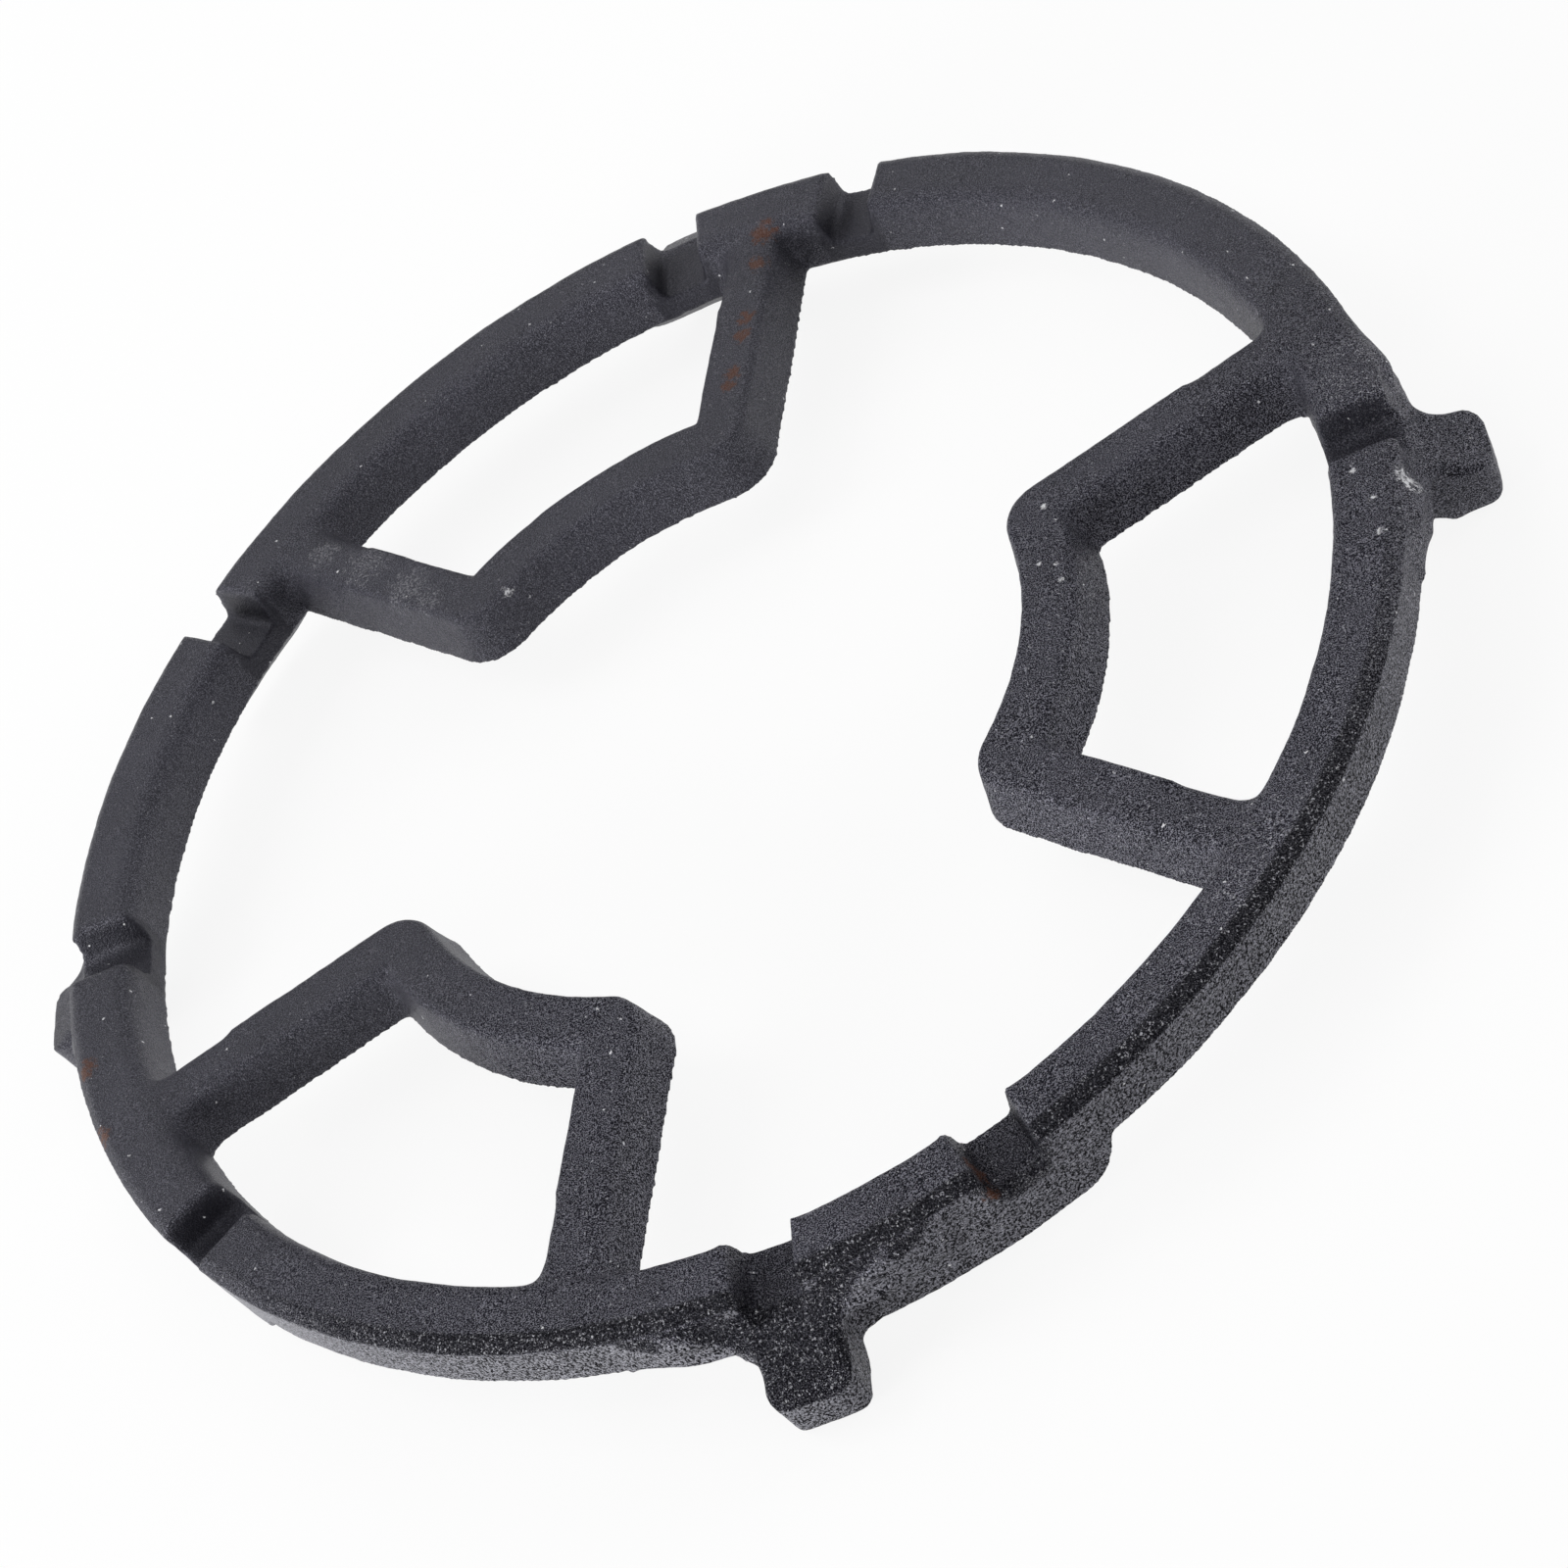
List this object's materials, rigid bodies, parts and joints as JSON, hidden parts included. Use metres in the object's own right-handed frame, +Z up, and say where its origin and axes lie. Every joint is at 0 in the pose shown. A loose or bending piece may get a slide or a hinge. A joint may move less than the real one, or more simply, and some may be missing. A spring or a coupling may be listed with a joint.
{
  "type": "hob pan support",
  "caption": "Round cast-iron pan support for a gas hob: a slotted ring with inward loops that carry a small pan and outward lugs that it stands on.",
  "frame": {"origin": "on the ring's axis, at the level of the lug feet", "axes": "+Z up along the ring's axis, towards the slotted face; +X towards the slot shared by both slot sets, between two of the loops' arms"},
  "size_m": [0.244, 0.244, 0.0198],
  "materials": {
    "cast_iron": "matte, sand-cast grain"
  },
  "bodies": {
    "root": {"pan_support": "cast_iron"}
  },
  "joints": []
}
